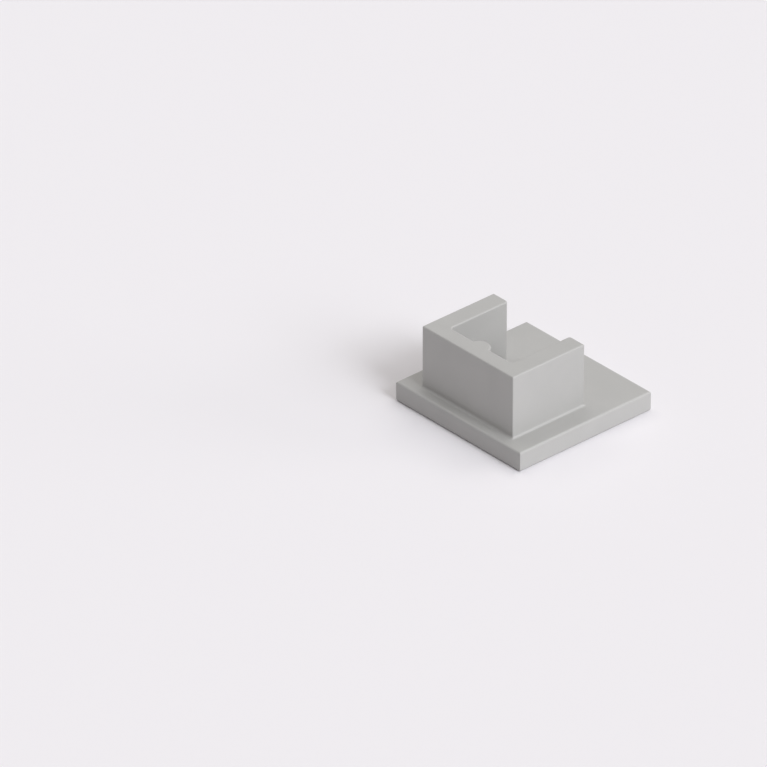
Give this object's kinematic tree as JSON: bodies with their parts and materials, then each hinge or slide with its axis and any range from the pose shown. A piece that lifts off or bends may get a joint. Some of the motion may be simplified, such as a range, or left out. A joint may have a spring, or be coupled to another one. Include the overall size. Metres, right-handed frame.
{
  "type": "profile end cap",
  "caption": "End cap for a light profile: a flat rectangular cover plate with a round lead hole and a ribbed, U-shaped plug that presses into the profile's channel.",
  "frame": {"origin": "centre of the cover plate's outer face, which it rests on", "axes": "+Z from the plate up the plug, the way the cap goes into the profile; the plug's open side looks along +Y; +X across the plug's width"},
  "size_m": [0.0164, 0.0158, 0.0083],
  "materials": {
    "moulded_abs": "matte moulded light grey"
  },
  "bodies": {
    "root": {"end_cap": "moulded_abs"}
  },
  "joints": []
}
